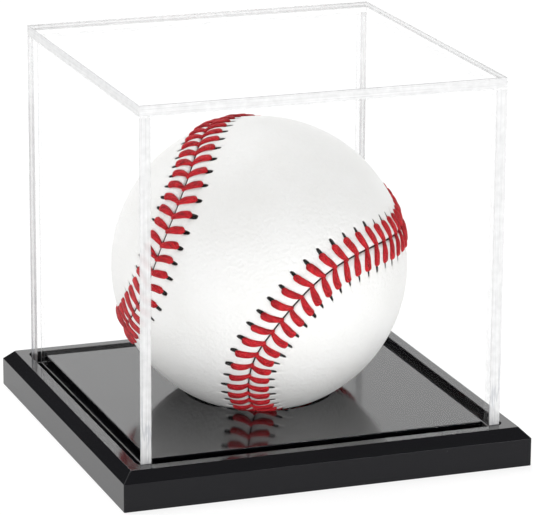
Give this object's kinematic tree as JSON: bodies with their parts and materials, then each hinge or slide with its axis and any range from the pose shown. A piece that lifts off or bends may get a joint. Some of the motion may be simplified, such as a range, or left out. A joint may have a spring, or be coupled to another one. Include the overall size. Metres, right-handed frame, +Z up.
{
  "type": "baseball display case",
  "caption": "Square clear cover that lifts off a bevelled black base, with a leather ball resting in a round seat inside.",
  "frame": {"origin": "centre of the base's underside", "axes": "+Z up, -Y towards the front wall, -X towards the left wall"},
  "size_m": [0.1046, 0.1046, 0.0967],
  "materials": {
    "black_acrylic": "polished",
    "clear_acrylic": "polished clear",
    "cork": "matte",
    "black_rubber": "matte",
    "red_rubber": "matte",
    "grey_wool": "matte",
    "white_wool": "matte",
    "cotton": "matte",
    "white_leather": "satin",
    "red_thread": "waxed"
  },
  "bodies": {
    "base": {"base_plate": "black_acrylic"},
    "cover": {"cover_top": "clear_acrylic", "cover_front": "clear_acrylic", "cover_back": "clear_acrylic", "cover_left": "clear_acrylic", "cover_right": "clear_acrylic"},
    "ball": {"ball_cork_core": "cork", "ball_black_rubber_lower": "black_rubber", "ball_black_rubber_upper": "black_rubber", "ball_rubber_gasket": "red_rubber", "ball_red_rubber_layer": "red_rubber", "ball_winding_first": "grey_wool", "ball_winding_second": "white_wool", "ball_winding_third": "grey_wool", "ball_winding_finish": "cotton", "ball_leather_a": "white_leather", "ball_leather_b": "white_leather", "ball_stitches": "red_thread"}
  },
  "joints": [
    {"name": "cover_lift", "type": "slide", "parent": "base", "child": "cover", "axis": [0, 0, 1], "range_m": [0, 0.085]},
    {"name": "ball_turn", "type": "hinge", "parent": "base", "child": "ball", "pos_m": [0, 0, 0.04206], "axis": [0, 0, 1], "continuous": true}
  ]
}
